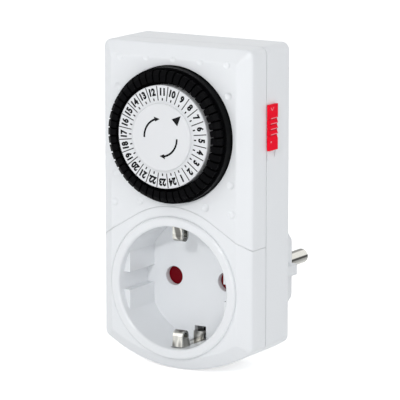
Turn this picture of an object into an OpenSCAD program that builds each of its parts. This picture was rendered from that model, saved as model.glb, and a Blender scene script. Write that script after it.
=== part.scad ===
// Plug-in mechanical timer switch for an earthed socket with two round pins.
// The frame's origin is the middle of the plug's face, between its two pins.
// X is to the right, Y points into the wall and Z is up. The dial looks along -Y.

/* [Case] */
// Width of the case
case_w = 53.4; // [51:0.2:64]
// Height of the top above the socket's axis
case_top = 75.4; // [74:0.2:92]
// Depth of the curved bottom below the socket's axis
case_drop = 26.1; // [25:0.5:32]
// Depth of the case, without the plug
case_d = 25; // [24:0.5:30]
// Depth of the front half, from the front face to the seam
front_d = 11; // [10:0.5:13]
// Thickness of the housing walls
wall = 2; // [1.6:0.1:2.4]
// Width of the bevel around the front
bevel = 4.2; // [2:0.1:4.6]
// Depth of the bevel around the front
bevel_d = 3; // [2:0.1:4]
// Radius of the curve that closes the bottom
bottom_r = 47; // [40:1:60]
// Rounding of the case's corners, seen from the front
corner_r = 2.4; // [1.5:0.1:3]
// Width of the seams between the housing parts
seam_gap = 0.15; // [0.1:0.05:0.3]

/* [Plug] */
// How far the plug body stands out behind the case
plug_h = 21; // [18:0.5:25]
// Radius of the plug body
plug_r = 18.7; // [18.5:0.1:19]
// Half the distance between the plug body's side flats
plug_flat_x = 15.9; // [15:0.1:17]
// Thickness of the plug's face
plug_face_t = 3; // [2:0.1:4]
// Distance between the two pins
pin_pitch = 19; // [17:0.5:21]
// Radius of a pin
pin_r = 2.4; // [2:0.1:2.8]
// Length of a pin outside the plug
pin_l = 18.5; // [17:0.5:22]

/* [Socket] */
// Radius of the recess
recess_r = 19.3; // [19:0.1:20]
// Depth of the recess, from its rim
recess_depth = 17; // [15:0.5:17.5]
// Thickness of the recess's floor
floor_t = 2; // [1.6:0.1:2.5]
// Radius of the collar around the recess
collar_r = 22.4; // [22:0.1:22.6]
// How far the collar stands out of the front
collar_proud = 0.8; // [0.4:0.1:1.2]
// Half the distance between the flats in the recess
key_x = 16.9; // [16.5:0.1:18]
// Width of the groove between two flats
key_groove = 5.5; // [5:0.1:6.5]
// Radius of a pin hole
hole_r = 3.05; // [2.8:0.05:3.3]
// Radius of the arched edge of the socket cover
arch_r = 25.6; // [24:0.1:26]
// Slope of that edge beside the arch, in degrees
arch_slope = 31; // [20:1:40]

/* [Dial] */
// Height of the dial's axis above the socket's axis
dial_z = 48; // [47.8:0.1:50]
// Radius of the dial's outer ring
dial_r = 21; // [20.5:0.1:21.6]
// How far the ring's wall stands out of the front
ring_proud = 3; // [2.6:0.1:4]
// How far the number ring stands out of the front
face_proud = 5.9; // [5:0.1:6.2]
// How far the middle disc stands out of the front
pointer_proud = 7; // [6.8:0.1:7.6]
// Number of tappets, one for each half hour
tappet_count = 48; // [24:24:48]
// How far a tappet can be pushed in
tappet_travel = 2.4; // [1.8:0.1:2.6]

/* [Gear train] */
// Tooth size: pitch diameter divided by the number of teeth
gear_module = 0.3; // [0.28:0.01:0.3]
// Teeth of the dial's gear
dial_teeth = 96; // [88:8:96]

/* [Override switch] */
// Length of the slide button
slider_l = 14.1; // [12:0.1:15]
// How far the slide button moves down
slider_travel = 2.5; // [2:0.1:2.8]

/* [Hidden] */
$fn = 96;
eps = 0.01;

// Colours
case_white = [0.90, 0.91, 0.93];
dial_black = [0.06, 0.06, 0.07];
disc_white = [0.94, 0.94, 0.95];
switch_red = [0.85, 0.05, 0.10];
shutter_red = [0.38, 0.03, 0.05];
nickel = [0.74, 0.74, 0.72];
brass = [0.80, 0.64, 0.30];
steel = [0.62, 0.63, 0.65];
gear_tan = [0.88, 0.82, 0.66];
plate_grey = [0.70, 0.71, 0.70];

// Clearances
fit = 0.1;            // around a piece that stays in its seat
run = 0.05;           // between a shaft and the bore that turns on it
air = 0.3;            // between pieces that pass each other
sunk = 0.5;           // how far a pillar starts inside the wall that carries it

// Planes across the case, from the front to the plug's face
y_back = -plug_h;
y_front = y_back - case_d;
y_seam = y_front + front_d;
y_front_in = y_front + wall;
y_back_in = y_back - wall;

// Socket
y_rim = y_front - collar_proud;
y_floor = y_rim + recess_depth;
y_floor_back = y_floor + floor_t;
insert_wall = 1.6;
insert_r = recess_r + insert_wall;
collar_seat = 1;
key_setback = 2;
strap_w = 6;
strap_t = 0.8;
strap_z = 17.3;
clip_w = 3.5;
clip_apex = 14;
clip_root = 19.7;
floor_slot_z = [15.1, 19.3];

// Shutter and contact carrier, behind the recess's floor
shutter_t = 1.2;
pivot_r = 2;
carrier_y = y_floor_back + air + shutter_t + air;
carrier_t = 1;
foot_r = 1.6;
foot_at = [14.5, 12.5];

// Contacts
strip_t = 0.6;
tulip_r = pin_r + run;
tulip_wall = 0.55;
tulip_y = carrier_y + 0.1;
root_r = 2.9;
root_y = -9;
strip_y = y_back_in - 1.3;

// Fastening columns
column_r = 4.2;
column_sink = 0.4;
column_at = [case_w / 2 - wall - column_r + column_sink,
    case_top - wall - column_r + column_sink];
foot_column_z = -15.2;
screw_r = 1.45;
screw_hole_r = 1.5;
head_r = 2.75;
screw_head_y = y_back - 8;

// Dial
tappet_in = dial_r - 4.1;
tappet_out = dial_r - 0.8;
tappet_half = 2.95 * 48 / tappet_count;
slot_half = 3.15 * 48 / tappet_count;
ring_floor = wall + 0.2;
flange_r = dial_r + 1.1;
number_r = dial_r - 5.1;
pointer_r = dial_r - 10.5;
axle_r = 1.5;
hub_r = 4;
leg_end = 5;
loose_tappets = [7, 8, 9, 10];
tappet_pitch = 360 / tappet_count;

// Gear train: levels are distances behind the front face
dial_gear_s = [8, 9.6];
wheel_2_s = [10.2, 11.6];
pinion_2_s = [7.8, 10.2];
pinion_1_s = [10, 12];
wheel_1_s = [12, 13.2];
motor_pinion_s = [11.9, 13.5];
plate_s = [14, 15];
pinion_2_teeth = 12;
wheel_2_teeth = 45;
pinion_1_teeth = 10;
wheel_1_teeth = 40;
motor_teeth = 10;
pressure = 25;
addendum = 0.8 * gear_module;
dedendum = 1.1 * gear_module;
tooth_play = 0.035;
gear_axle_r = 0.75;
angle_2 = 200;
angle_1 = 10;
angle_m = 80;
function centre_distance(a, b) = gear_module * (a + b) / 2;
function polar(r, a) = [r * cos(a), r * sin(a)];
axis_2 = polar(centre_distance(dial_teeth, pinion_2_teeth), angle_2);
axis_1 = axis_2 + polar(centre_distance(wheel_2_teeth, pinion_1_teeth), angle_1);
axis_m = axis_1 + polar(centre_distance(wheel_1_teeth, motor_teeth), angle_m);
motor_r = 12.5;
motor_gap = 0.2;
ear_x = 15.2;

// Lower posts of the gear plate
post_at = [14.5, dial_z - 21.5];
post_r = 2;
post_screw_r = 0.8;

// Switch lever, on the right of the dial; its finger stands behind the pointer's tappet
finger_angle = 45;
finger_at = polar((tappet_in + tappet_out) / 2, finger_angle);
finger_gap = 0.3;
lever_x = [case_w / 2 - wall - 6.4, case_w / 2 - wall - 3.4];
lever_mid = (lever_x[0] + lever_x[1]) / 2;
lever_s = 10;
lever_half = 1.2;
pivot_z = dial_z - 11;
lever_pin_r = 1;
hub_wall = 1;
ear_t = 1;
lug_arm = 12;
lug_r = 1.1;
lug_x = lever_x[1] + 1.8;
contact_z = dial_z - 22;
contact_r = 1.6;
contact_gap = 1.15;
rivet_r = 1.1;
blade_t = 0.5;
spring_z = dial_z - 4;
spring_r = 1.6;
spring_wire = 0.2;

// How far the lever turns as the slider moves
lever_angle = 5;
ramp_slope = atan(lug_arm * sin(lever_angle) / slider_travel);

// Override slider
slider_y = [y_seam + 0.1, y_seam + 5.2];
slider_proud = 1;
slider_z = [dial_z + 9.7 - slider_l, dial_z + 9.7];
neck_z = [slider_z[0] + 3, slider_z[1] - 3];
neck_y = [y_seam + 1.2, y_seam + 3.8];
seam_notch = 0.5;

// ---- Shared shapes ----

// An outline in X and Z, made thick from y0 to y1
module slab(y0, y1) {
    translate([0, y1, 0]) rotate([90, 0, 0]) linear_extrude(y1 - y0) children();
}

// An outline in Y and Z, made thick from x0 to x1
module cheek(x0, x1) {
    translate([x0, 0, 0]) rotate([90, 0, 90]) linear_extrude(x1 - x0) children();
}

// A round bar along Y
module rod(r, y0, y1) {
    translate([0, y0, 0]) rotate([-90, 0, 0]) cylinder(r = r, h = y1 - y0);
}

// A profile of radius and Y, turned about the Y axis
module turned() {
    rotate([-90, 0, 0]) rotate_extrude() children();
}

module at(x, z) {
    translate([x, 0, z]) children();
}

module block(x, y, z) {
    translate([x[0], y[0], z[0]]) cube([x[1] - x[0], y[1] - y[0], z[1] - z[0]]);
}

module at_dial() {
    translate([0, 0, dial_z]) children();
}

function arc(c, r, a0, a1, n) = [for (i = [0:n]) c + polar(r, a0 + (a1 - a0) * i / n)];

// Closed tube of radius r along a path, with flat ends
function unit(v) = v / norm(v);
function heading(path, i) = unit(path[min(i + 1, len(path) - 1)] - path[max(i - 1, 0)]);
function side_way(t, ref) = unit(cross(t, ref));
module tube(path, r, ref, sides = 8) {
    rings = [for (i = [0:len(path) - 1]) let (t = heading(path, i), n = side_way(t, ref),
        b = cross(n, t)) for (k = [0:sides - 1])
            path[i] + r * (cos(360 * k / sides) * n + sin(360 * k / sides) * b)];
    last = (len(path) - 1) * sides;
    walls = [for (i = [0:len(path) - 2]) for (k = [0:sides - 1])
        let (a = i * sides + k, b = i * sides + (k + 1) % sides)
            each [[a, b, b + sides], [a, b + sides, a + sides]]];
    ends = [[for (k = [0:sides - 1]) sides - 1 - k], [for (k = [0:sides - 1]) last + k]];
    polyhedron(points = rings, faces = concat(walls, ends), convexity = 10);
}

// Coil spring from a to b, in steps of a twelfth of a turn
module coil(a, b, radius, wire, turns) {
    along = unit(b - a);
    u = unit(cross(along, abs(along[0]) < 0.9 ? [1, 0, 0] : [0, 0, 1]));
    v = cross(along, u);
    steps = turns * 12;
    tube([for (i = [0:steps]) a + (b - a) * i / steps
        + radius * (cos(30 * i) * u + sin(30 * i) * v)], wire, along, 6);
}

// ---- Case ----

// The case's outline, a distance in from its outer skin
function outline(inset) = let (
    hw = case_w / 2 - inset,
    top = case_top - inset,
    r = max(corner_r - inset, 0.3),
    big = bottom_r - inset,
    centre_z = bottom_r - case_drop,
    low_x = hw - r,
    low_z = centre_z - sqrt(pow(big - r, 2) - pow(low_x, 2)),
    turn = atan2(low_z - centre_z, low_x))
    concat(
        arc([hw - r, top - r], r, 0, 90, 6),
        arc([r - hw, top - r], r, 90, 180, 6),
        arc([-low_x, low_z], r, 180, 180 - turn, 4),
        [for (i = [1:23]) [0, centre_z] + polar(big, 180 - turn + (180 + 2 * turn) * i / 24)],
        arc([low_x, low_z], r, turn, 0, 4));

module outline_slab(inset, y0, y1) {
    slab(y0, y1) polygon(outline(inset));
}

// A solid through a stack of outlines, each given by its inset and its plane
module outline_stack(rings) {
    n = len(outline(0));
    last = len(rings) - 1;
    polyhedron([for (ring = rings, p = outline(ring[0])) [p[0], ring[1], p[1]]],
        concat([[for (i = [n - 1:-1:0]) i], [for (i = [0:n - 1]) last * n + i]],
            [for (k = [0:last - 1], i = [0:n - 1]) let (a = k * n, j = (i + 1) % n)
                [a + i, a + j, a + n + j]],
            [for (k = [0:last - 1], i = [0:n - 1]) let (a = k * n, j = (i + 1) % n)
                [a + i, a + n + j, a + n + i]]));
}

// Inset and plane of each step of the front bevel, with its two edges rounded
edge_r = 1.2;
bevel_a = atan(bevel_d / bevel);
edge_in = edge_r * tan(bevel_a / 2);
edge_out = edge_r * tan((90 - bevel_a) / 2);
bevel_steps = concat(
    [for (k = [0:3]) let (a = bevel_a * k / 3)
        [bevel + edge_in - edge_r * sin(a), y_front + edge_r * (1 - cos(a))]],
    [for (k = [3:-1:0]) let (a = (90 - bevel_a) * k / 3)
        [edge_r * (1 - cos(a)), y_front + bevel_d + edge_out - edge_r * sin(a)]]);

module front_form() {
    outline_stack(concat(bevel_steps, [[0, y_seam - seam_gap]]));
}

// The hollow of the front half, with a rebate for the rear half's tongue
tongue_t = 0.85;
tongue_l = 1.5;
module front_hollow() {
    reach = 1 + wall * norm([1 / bevel, 1 / bevel_d]);
    outline_stack([[bevel * (reach - wall / bevel_d), y_front_in],
        [wall, y_front + bevel_d * (reach - wall / bevel)], [wall, y_seam + 1]]);
    rebate();
}

module rebate() {
    difference() {
        outline_slab(wall - tongue_t - fit, y_seam - tongue_l - fit, y_seam + 5);
        outline_slab(wall + fit, y_seam - tongue_l - 1, y_seam + 6);
    }
}

// The part of the front that belongs to the socket cover, taken in by a gap
module socket_side(gap) {
    r = arch_r - gap;
    touch = [r * sin(arch_slope), r * cos(arch_slope)];
    far = case_w;
    drop = touch[1] - (far - touch[0]) * tan(arch_slope);
    y0 = y_front - 1;
    rod(r, y0, y_seam + 2);
    slab(y0, y_seam + 2) polygon([touch, [far, drop], [far, -far], [-far, -far],
        [-far, drop], [-touch[0], touch[1]]]);
}

// A screw column, thinner where it meets the bevelled front
column_root_r = 2.6;
module column(x, z, y0, y1) {
    at(x, z) {
        rod(column_root_r, y0, y1);
        rod(column_r, max(y0, y_front + bevel_d), y1);
    }
}

// Shallow round dimples around the dial
dimple_r = 2;
dimple_sink = 0.42;
dimples = [[0, 23.5], [9.6, 23.3], [19.1, 22.8], [19.7, 13.4], [20.6, -13.9], [21.1, -22.9],
    [11.7, -21.7]];
module dimple_cuts() {
    for (p = dimples, side = [-1, 1]) {
        if (p[0] > 0 || side > 0) {
            translate([side * p[0], y_front + dimple_sink - dimple_r, dial_z + p[1]])
                sphere(r = dimple_r, $fn = 32);
        }
    }
}

module front_cover() {
    y_plate = y_front + plate_s[0];
    color(case_white) difference() {
        union() {
            difference() {
                front_form();
                front_hollow();
            }
            for (side = [-1, 1]) {
                column(side * column_at[0], column_at[1], y_front_in - sunk, y_plate);
                at(side * post_at[0], post_at[1]) rod(post_r, y_front_in - sunk, y_plate);
            }
            at_dial() difference() {
                rod(flange_r + 1.6, y_front_in - sunk, y_front_in + 1);
                rod(flange_r + air, y_front_in - 1, y_front_in + 2);
            }
        }
        socket_side(0);
        at_dial() {
            rod(dial_r + air, y_front - 1, y_front_in + 1.1);
            rod(flange_r + air, y_front_in, y_front_in + 3);
        }
        dimple_cuts();
        rebate();
        for (side = [-1, 1]) {
            at(side * column_at[0], column_at[1])
                rod(screw_hole_r, y_front_in + 0.5, y_plate + 1);
            at(side * post_at[0], post_at[1]) rod(post_screw_r, y_plate - 5, y_plate + 1);
        }
    }
}

module socket_cover() {
    color(case_white) difference() {
        union() {
            intersection() {
                difference() {
                    front_form();
                    front_hollow();
                }
                socket_side(seam_gap);
            }
            for (side = [-1, 1]) {
                column(side * column_at[0], foot_column_z, y_front_in - sunk, y_seam);
            }
        }
        rebate();
        rod(insert_r + fit, y_front - 1, y_seam + 1);
        rod(collar_r + 2 * fit, y_front - 1, y_front + collar_seat + fit);
        for (side = [-1, 1]) {
            at(side * column_at[0], foot_column_z) rod(screw_hole_r, y_front_in + 0.5, y_seam + 1);
        }
    }
}

// The plug body's outline with its two guide ribs, taken in by an inset
rib_x = 18.5;
rib_h = 3.4;
module plug_outline(inset) {
    intersection() {
        circle(r = plug_r - inset);
        square([2 * (plug_flat_x - inset), 3 * plug_r], center = true);
    }
}

module plug_skin() {
    round_r = 1;
    turned() polygon(concat([[0, y_back - wall / 2], [plug_r, y_back - wall / 2]],
        arc([plug_r - round_r, -round_r], round_r, 0, 90, 6), [[0, 0]]));
}

// Round body of the plug, with a flange that sits in the rear half's wall
plug_flange_r = plug_r + 1;
module plug_body() {
    plug_wall = 2;
    y_flange = y_back_in + wall / 2;
    color(case_white) difference() {
        union() {
            intersection() {
                plug_skin();
                slab(y_flange - sunk, 0) plug_outline(0);
            }
            block([-rib_x, rib_x], [y_flange - sunk, -1.2], [-rib_h / 2, rib_h / 2]);
            rod(plug_flange_r, y_back_in, y_flange);
        }
        // hollow, open to the case
        slab(y_back_in - 1, -plug_face_t) intersection() {
            plug_outline(plug_wall);
            square([2 * plug_r, 2 * (strap_z - 1.7)], center = true);
        }
        // holes of the pins
        for (side = [-1, 1]) {
            at(side * pin_pitch / 2, 0) rod(root_r + run, -plug_face_t - 1, 1);
        }
        // channels and slots of the earth straps
        for (side = [0, 180]) {
            rotate([0, side, 0]) {
                block([-strap_w / 2 - fit, strap_w / 2 + fit], [y_back_in - 1, 1],
                    [strap_z - fit, plug_flange_r + 1]);
            }
        }
    }
}

// A small triangle sunk into the case below the slide button
mark_half = 0.9;
mark_h = 2.2;
mark_sink = 0.3;
module slider_mark() {
    y = y_seam + 4.8;
    z = slider_z[0] - 0.4;
    cheek(case_w / 2 - mark_sink, case_w / 2 + 1)
        polygon([[y - mark_half, z], [y + mark_half, z], [y, z - mark_h]]);
}

module rear_housing() {
    column_end = y_front + plate_s[1];
    edge = 0.4;
    color(case_white) difference() {
        union() {
            // tub
            difference() {
                outline_stack(concat([[0, y_seam + seam_gap]], [for (a = [0:30:90])
                    [edge * (1 - cos(a)), y_back - edge + edge * sin(a)]]));
                outline_slab(wall, y_seam, y_back_in);
            }
            // tongue that enters the front half
            difference() {
                outline_slab(wall - tongue_t, y_seam - tongue_l, y_seam + 2);
                outline_slab(wall, y_seam - tongue_l - 1, y_seam + 3);
            }
            // screw columns
            for (side = [-1, 1]) {
                column(side * column_at[0], column_at[1], column_end, y_back_in + sunk);
                column(side * column_at[0], foot_column_z, y_seam, y_back_in + sunk);
            }
            // seat of the lever's spring
            at(lever_mid, spring_z)
                rod(spring_r - spring_wire - 0.2, y_back_in - 2.5, y_back_in + sunk);
        }
        // hole and seat of the plug body
        slab(y_back_in - 1, y_back + 1) {
            plug_outline(-fit);
            square([2 * (rib_x + fit), rib_h + 2 * fit], center = true);
        }
        rod(plug_flange_r + fit, y_back_in - 1, y_back_in + wall / 2 + eps);
        // screw holes with sunk heads
        for (side = [-1, 1], z = [column_at[1], foot_column_z]) {
            at(side * column_at[0], z) {
                rod(screw_hole_r + 0.2, y_seam - 10, y_back + 1);
                rod(head_r + 0.3, screw_head_y, y_back + 1);
            }
        }
        // slot of the override slider, its notch at the seam and its mark
        block([case_w / 2 - wall - 1, case_w / 2 + 1], [neck_y[0] - fit, neck_y[1] + fit],
            [neck_z[0] - slider_travel - fit, neck_z[1] + fit]);
        block([case_w / 2 - seam_notch, case_w / 2 + 1], [y_seam - 1, y_seam + seam_notch],
            [slider_z[0] - slider_travel - 0.6, slider_z[1]]);
        slider_mark();
    }
}

// ---- Socket ----

module key_blocks() {
    y0 = y_front + key_setback;
    for (side = [-1, 1]) {
        difference() {
            intersection() {
                rod(recess_r + 0.5, y0, y_floor + 1);
                block(side > 0 ? [key_x, recess_r + 1] : [-recess_r - 1, -key_x],
                    [y0, y_floor + 1], [-recess_r, recess_r]);
            }
            block([-recess_r - 2, recess_r + 2], [y0 - 1, y_floor + 2],
                [-key_groove / 2, key_groove / 2]);
        }
    }
}

module socket_insert() {
    collar_back = y_front + collar_seat;
    lip = 0.8;
    color(case_white) difference() {
        union() {
            turned() polygon(concat(
                [[0, y_floor], [recess_r, y_floor], [recess_r, y_rim + lip]],
                arc([recess_r + lip, y_rim + lip], lip, 180, 270, 6),
                arc([collar_r - lip, y_rim + lip], lip, 270, 360, 6),
                [[collar_r, collar_back], [insert_r, collar_back], [insert_r, y_floor_back],
                 [0, y_floor_back]]));
            key_blocks();
            rod(pivot_r, y_floor_back - sunk, carrier_y);
            at(3.2, -13.7) rod(0.5, y_floor_back - sunk, carrier_y);
        }
        for (side = [-1, 1]) {
            at(side * pin_pitch / 2, 0) rod(hole_r, y_floor - 1, y_floor_back + 1);
            // slot for the earth clip, in the floor and the wall
            rotate([0, side > 0 ? 0 : 180, 0]) {
                block([-clip_w / 2 - air, clip_w / 2 + air], [y_floor - 1, y_floor_back + 1],
                    floor_slot_z);
                block([-clip_w / 2 - air, clip_w / 2 + air], [y_front + 1.6, y_floor + eps],
                    [recess_r - 2, clip_root + strap_t / 2 + air]);
            }
        }
    }
}

module contact_carrier() {
    color(plate_grey) difference() {
        union() {
            rod(16.4, carrier_y, carrier_y + carrier_t);
            for (sx = [-1, 1], sz = [-1, 1]) {
                at(sx * foot_at[0], sz * foot_at[1]) {
                    rod(foot_r, y_floor_back, y_back_in);
                }
                at(sx * foot_at[0] * 0.9, sz * foot_at[1] * 0.9) {
                    rod(foot_r, carrier_y, carrier_y + carrier_t);
                }
            }
        }
        for (side = [-1, 1]) {
            at(side * pin_pitch / 2, 0)
                rod(tulip_r + tulip_wall + fit, carrier_y - 1, carrier_y + carrier_t + 1);
        }
        for (side = [0, 180]) {
            rotate([0, side, 0]) {
                block([-strap_w / 2 - air, strap_w / 2 + air],
                    [carrier_y - 1, carrier_y + carrier_t + 1], [strap_z - 1.2, 20]);
            }
        }
    }
}

// Two-winged plate that hides the pin holes and turns aside as a plug goes in
shutter_tab = 6.6;
module safety_shutter() {
    wing_r = pin_pitch / 2 + hole_r + 1;
    wing_half = 25;
    wing_in = 4.5;
    y0 = y_floor_back + air;
    color(shutter_red) difference() {
        union() {
            rod(wing_in, y0, y0 + shutter_t);
            for (side = [0, 180]) {
                slab(y0, y0 + shutter_t) polygon(concat([[0, 0]],
                    arc([0, 0], wing_r, side - wing_half, side + wing_half, 8)));
            }
            block([-0.9, 0.9], [y0, y0 + shutter_t], [-shutter_tab, 0]);
        }
        rod(pivot_r + run, y0 - 1, y0 + shutter_t + 1);
    }
}

module shutter_spring() {
    y = y_floor_back + air + shutter_t / 2;
    color(steel) coil([0.1, y, -shutter_tab - 0.2], [2.95, y, -13.1], 0.4, 0.12, 9);
}

module plug_pin(side) {
    tip = 1.2;
    flange_t = 1.5;
    color(nickel) at(side * pin_pitch / 2, 0) {
        turned() polygon(concat([[0, root_y], [root_r, root_y], [root_r, 0], [pin_r, 0]],
            arc([pin_r - tip, pin_l - tip], tip, 0, 90, 5), [[0, pin_l]]));
        rod(root_r + 1.2, -plug_face_t - flange_t, -plug_face_t);
    }
}

module plug_pin_live() {
    plug_pin(1);
}

module plug_pin_neutral() {
    plug_pin(-1);
}

// A bent strip of one thickness, with its corners mitred
function way_normal(a, b) = [unit(a - b)[1], unit(b - a)[0]];
function mitre(path, i) = let (
    last = len(path) - 1,
    before = way_normal(path[max(i, 1) - 1], path[max(i, 1)]),
    after = way_normal(path[min(i, last - 1)], path[min(i, last - 1) + 1]))
    (before + after) / (1 + before * after);
function ribbon(path, t) = concat(
    [for (i = [0:len(path) - 1]) path[i] + t / 2 * mitre(path, i)],
    [for (i = [len(path) - 1:-1:0]) path[i] - t / 2 * mitre(path, i)]);

// Earth contact: contact face beside the plug body, then the spring clip in the socket
module earth_strap() {
    z_mid = strap_z + strap_t / 2;
    z_slot = clip_apex + 2.9;
    y_bend = y_floor - 0.7;
    nose_r = 1.5;
    nose = [y_front + 4.5, clip_apex + strap_t / 2 + nose_r];
    y_neck = y_floor_back + 1.2;
    color(nickel) {
        cheek(-strap_w / 2, strap_w / 2) polygon(ribbon([[-1, z_mid], [y_neck, z_mid]], strap_t));
        cheek(-clip_w / 2, clip_w / 2) polygon(ribbon(concat(
            [[y_neck + 1, z_mid], [y_floor_back - 0.4, z_mid], [y_floor, z_slot],
             [y_bend, z_slot], [y_bend, clip_root], [nose[0] + 2.6, clip_root]],
            arc(nose, nose_r, 20, -200, 8),
            [[nose[0] - 1.7, clip_root - 0.6]]), strap_t));
    }
}

module earth_strap_upper() {
    earth_strap();
}

module earth_strap_lower() {
    mirror([0, 0, 1]) earth_strap();
}

module earth_link() {
    y0 = strip_y;
    color(nickel) block([-2, 2], [y0, y0 + strip_t], [-strap_z, strap_z]);
}

// A slotted sleeve that grips a pin
module tulip(y0, y1) {
    difference() {
        rod(tulip_r + tulip_wall, y0, y1);
        rod(tulip_r, y0 - 1, y1 + 1);
        block([-0.3, 0.3], [y0 - 1, y0 + 9], [-5, 5]);
    }
}

module neutral_contact() {
    color(brass) at(-pin_pitch / 2, 0) {
        tulip(tulip_y, root_y - strip_t);
        rod(tulip_r + tulip_wall, root_y - strip_t, root_y);
    }
}

// Fixed contact of the switch, joined to the socket's live sleeve
module live_contact() {
    x0 = pin_pitch / 2 - 2.5;
    x1 = pin_pitch / 2 + 2.5;
    z_turn = arch_r - 2;
    y_plate = y_front + lever_s - lever_half - 0.35 - contact_gap - contact_r;
    color(brass) {
        difference() {
            union() {
                at(pin_pitch / 2, 0) tulip(tulip_y, tulip_y + 13);
                block([x0, x1], [strip_y, strip_y + strip_t], [0, z_turn]);
                block([x0, x1], [y_plate, strip_y + strip_t], [z_turn - strip_t, z_turn]);
                block([x0, lever_x[1]], [y_plate, y_plate + strip_t], [z_turn - 2, z_turn]);
                block(lever_x, [y_plate, y_plate + strip_t], [z_turn - 2, contact_z + 2]);
                at(lever_mid, contact_z) rod(contact_r, y_plate, y_plate + contact_r);
            }
            at(pin_pitch / 2, 0) rod(tulip_r, tulip_y - 1, tulip_y + 14);
        }
    }
}

// Strip from the live pin's root up to the switch lever
module live_bus() {
    x_side = plug_flat_x - 2.9;
    z_half = 2.5;
    y_end = y_front + lever_s + lever_half + blade_t + air;
    z_end = pivot_z - 4;
    color(brass) {
        block([pin_pitch / 2 - 3, x_side + strip_t], [root_y - strip_t, root_y],
            [-z_half, z_half]);
        block([x_side, x_side + strip_t], [strip_y, root_y], [-z_half, z_half]);
        block([x_side, lever_x[1]], [strip_y, strip_y + strip_t], [-z_half, z_half]);
        block(lever_x, [strip_y, strip_y + strip_t], [-z_half, z_end]);
        block(lever_x, [y_end, strip_y + strip_t], [z_end - strip_t, z_end]);
    }
}

// ---- Gears ----

function roll(a) = tan(a) * 180 / PI - a;

// Outline of a gear with a tooth centred on the angle turn
function gear_points(teeth, turn) = let (
    pitch = gear_module * teeth / 2,
    base = pitch * cos(pressure),
    root = pitch - dedendum,
    tip = pitch + addendum,
    foot = max(base, root),
    half = 90 / teeth - tooth_play / pitch * 180 / PI + roll(pressure),
    flank = [for (i = [0:3]) let (r = foot + (tip - foot) * i / 3)
        [r, half - roll(acos(base / r))]],
    side = concat([[root, flank[0][1]]], [for (p = flank) if (p[0] > root + eps) p]),
    last = len(side) - 1)
    [for (k = [0:teeth - 1]) let (c = turn + 360 * k / teeth) each concat(
        [for (p = side) polar(p[0], c - p[1])],
        [for (i = [last:-1:0]) polar(side[i][0], c + side[i][1])])];

// Angle of a tooth on the second gear, when it meshes with the first in a direction
function mate(turn, teeth, teeth_2, way) =
    way + 180 - (0.5 - (way - turn) * teeth / 360) * 360 / teeth_2;

module gear(teeth, turn, s) {
    slab(y_front + s[0], y_front + s[1]) polygon(gear_points(teeth, turn));
}

module on_axis(p) {
    at(p[0], dial_z + p[1]) children();
}

// ---- Dial ----

// A wedge of the dial's ring, centred on the X axis
module wedge(r0, r1, half, y0, y1) {
    slab(y0, y1) polygon([[r0, -r0 * tan(half)], [r1, -r1 * tan(half)],
        [r1, r1 * tan(half)], [r0, r0 * tan(half)]]);
}

module dial_carrier() {
    y_top = y_front - ring_proud;
    y_slot = y_front + ring_floor;
    wall_in = tappet_in - 0.7;
    color(dial_black) at_dial() difference() {
        union() {
            difference() {
                turned() polygon([[axle_r + run, y_front - 2.8], [hub_r, y_front - 2.8],
                    [hub_r, y_front - 1], [wall_in, y_front - 1], [wall_in, y_top + 0.2],
                    [tappet_out + fit, y_top + 0.2], [tappet_out + fit, y_top],
                    [dial_r, y_top], [dial_r, y_slot], [flange_r, y_slot],
                    [flange_r, y_slot + 1.1], [wall_in, y_slot + 1.1],
                    [wall_in, y_front + 0.2], [hub_r, y_front + 0.2],
                    [hub_r, y_front + dial_gear_s[1]],
                    [axle_r + run, y_front + dial_gear_s[1]]]);
                for (i = [0:tappet_count - 1]) {
                    rotate([0, -i * tappet_pitch, 0])
                        wedge(tappet_in - fit, tappet_out + fit, slot_half,
                            y_top - 1, y_slot + 2);
                }
            }
            gear(dial_teeth, 0, dial_gear_s);
        }
        rod(axle_r + run, y_front - 10, y_front + 12);
    }
}

module number_ring() {
    y0 = y_front - face_proud;
    r0 = pointer_r + 0.2;
    color(disc_white) at_dial() turned() polygon([[r0, y0], [number_r - 0.2, y0],
        [number_r, y0 + 0.2], [number_r, y_front - 1], [number_r - 1, y_front - 1],
        [number_r - 1, y0 + 1.2], [r0, y0 + 1.2]]);
}

module pointer_disc() {
    y0 = y_front - pointer_proud;
    round_r = 0.6;
    color(disc_white) at_dial() difference() {
        turned() polygon(concat([[0, y0]],
            arc([pointer_r - round_r, y0 + round_r], round_r, -90, 0, 4),
            [[pointer_r, y0 + 2.4], [3.2, y0 + 2.4], [3.2, y0 + 3.9], [0, y0 + 3.9]]));
        rod(axle_r, y0 + 0.8, y_front);
    }
}

module dial_axle() {
    color(steel) at_dial() rod(axle_r, y_front - pointer_proud + 0.8, y_front + plate_s[1]);
}

// One tappet in its place around the dial
module tappet(i) {
    y_top = y_front - face_proud + 0.2;
    y_leg = y_front + leg_end;
    color(dial_black) at_dial() rotate([0, -i * tappet_pitch, 0]) intersection() {
        wedge(tappet_in, tappet_out, tappet_half, y_top, y_leg);
        translate([0, 0, -3]) linear_extrude(6) polygon([[tappet_in, y_leg],
            [tappet_in, y_top], [tappet_in + 2.1, y_top], [tappet_out, y_top + 0.8],
            [tappet_out, y_leg]]);
    }
}

module tappet_set() {
    for (i = [0:tappet_count - 1]) {
        if (len(search(i, loose_tappets)) == 0) {
            tappet(i);
        }
    }
}

module tappet_1() {
    tappet(loose_tappets[0]);
}

module tappet_2() {
    tappet(loose_tappets[1]);
}

module tappet_3() {
    tappet(loose_tappets[2]);
}

module tappet_4() {
    tappet(loose_tappets[3]);
}

// ---- Gear train and motor ----

module reduction_gear_2() {
    color(gear_tan) on_axis(axis_2) difference() {
        union() {
            gear(pinion_2_teeth, mate(0, dial_teeth, pinion_2_teeth, angle_2), pinion_2_s);
            gear(wheel_2_teeth, 0, wheel_2_s);
        }
        rod(gear_axle_r + run, y_front, y_front + 20);
    }
}

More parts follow.
